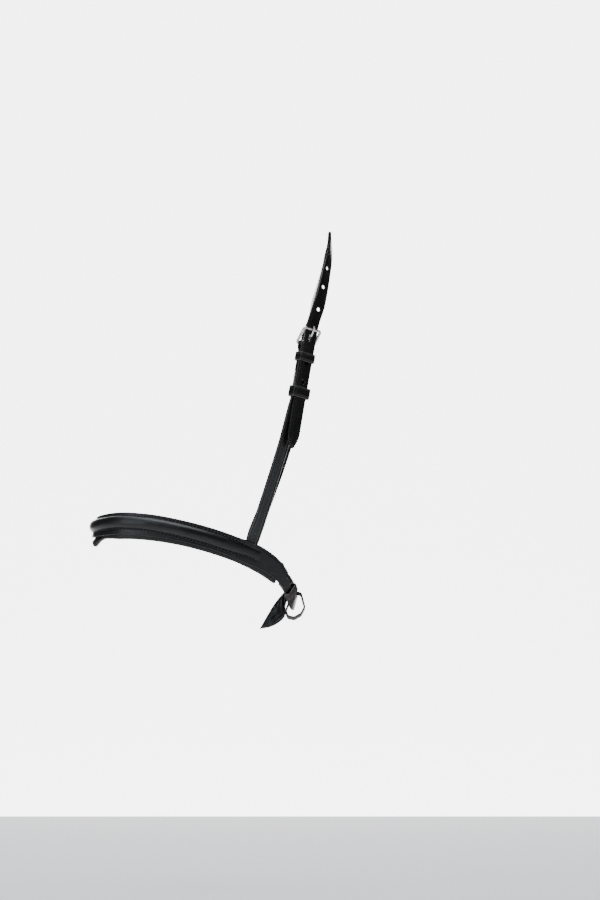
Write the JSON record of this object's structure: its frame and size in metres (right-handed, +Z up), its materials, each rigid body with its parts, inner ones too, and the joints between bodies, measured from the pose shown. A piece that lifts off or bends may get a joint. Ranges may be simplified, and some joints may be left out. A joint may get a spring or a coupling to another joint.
{
  "type": "raised padded noseband",
  "caption": "Raised, padded and stitched leather noseband with its sliphead, buckled cheek strap, keepers, jaw strap and chin pad.",
  "frame": {"origin": "top of the crown fold on the middle plane, where the sliphead hangs", "axes": "+Z up along the hanging straps, +X from the nose to the jaw, -Y the near (left) side with the buckled cheek strap"},
  "size_m": [0.2467, 0.1335, 0.4031],
  "materials": {
    "black_leather": "smooth",
    "lining_leather": "soft",
    "padding": "matte",
    "buckle_metal": "polished"
  },
  "bodies": {
    "noseband": {"nose_cover": "black_leather", "nose_roll_core": "padding", "nose_base_strap": "black_leather", "nose_pad_cover": "lining_leather", "nose_pad_foam": "padding", "cheek_strap": "black_leather", "sliphead_strap": "black_leather", "cheek_fixed_keeper": "black_leather", "jaw_strap": "black_leather", "jaw_edge_keeper": "black_leather", "jaw_chape": "black_leather", "tail_keeper_front": "black_leather", "tail_keeper_back": "black_leather"},
    "runner": {"cheek_runner_keeper": "black_leather"},
    "cheek_frame": {"cheek_buckle_frame": "buckle_metal"},
    "cheek_tongue": {"cheek_buckle_tongue": "buckle_metal"},
    "jaw_frame": {"jaw_buckle_frame": "buckle_metal"},
    "jaw_tongue": {"jaw_buckle_tongue": "buckle_metal"},
    "chin_pad": {"chin_pad_cover": "black_leather", "chin_pad_filling": "padding", "chin_pad_loop": "black_leather"}
  },
  "joints": [
    {"name": "runner_slide", "type": "slide", "parent": "noseband", "child": "runner", "axis": [0.181, 0.1142, 0.9768], "range_m": [-0.005, 0.009]},
    {"name": "cheek_frame_hinge", "type": "hinge", "parent": "noseband", "child": "cheek_frame", "pos_m": [-0.0259, -0.042, -0.1169], "axis": [0.8002, 0.5603, -0.2138], "range_deg": [0, 3]},
    {"name": "cheek_tongue_hinge", "type": "hinge", "parent": "cheek_frame", "child": "cheek_tongue", "pos_m": [-0.0259, -0.042, -0.1169], "axis": [0.8002, 0.5603, -0.2138], "range_deg": [0, 3]},
    {"name": "jaw_frame_hinge", "type": "hinge", "parent": "noseband", "child": "jaw_frame", "pos_m": [-0.06589, 0.04141, -0.33615], "axis": [0.5324, -0.1635, 0.8306], "range_deg": [0, 3]},
    {"name": "jaw_tongue_hinge", "type": "hinge", "parent": "jaw_frame", "child": "jaw_tongue", "pos_m": [-0.06589, 0.04141, -0.33615], "axis": [0.5324, -0.1635, 0.8306], "range_deg": [0, 3]},
    {"name": "chin_pad_swing", "type": "hinge", "parent": "noseband", "child": "chin_pad", "pos_m": [-0.03589, 0, -0.37668], "axis": [0, 1, 0], "range_deg": [-8, 8]}
  ]
}
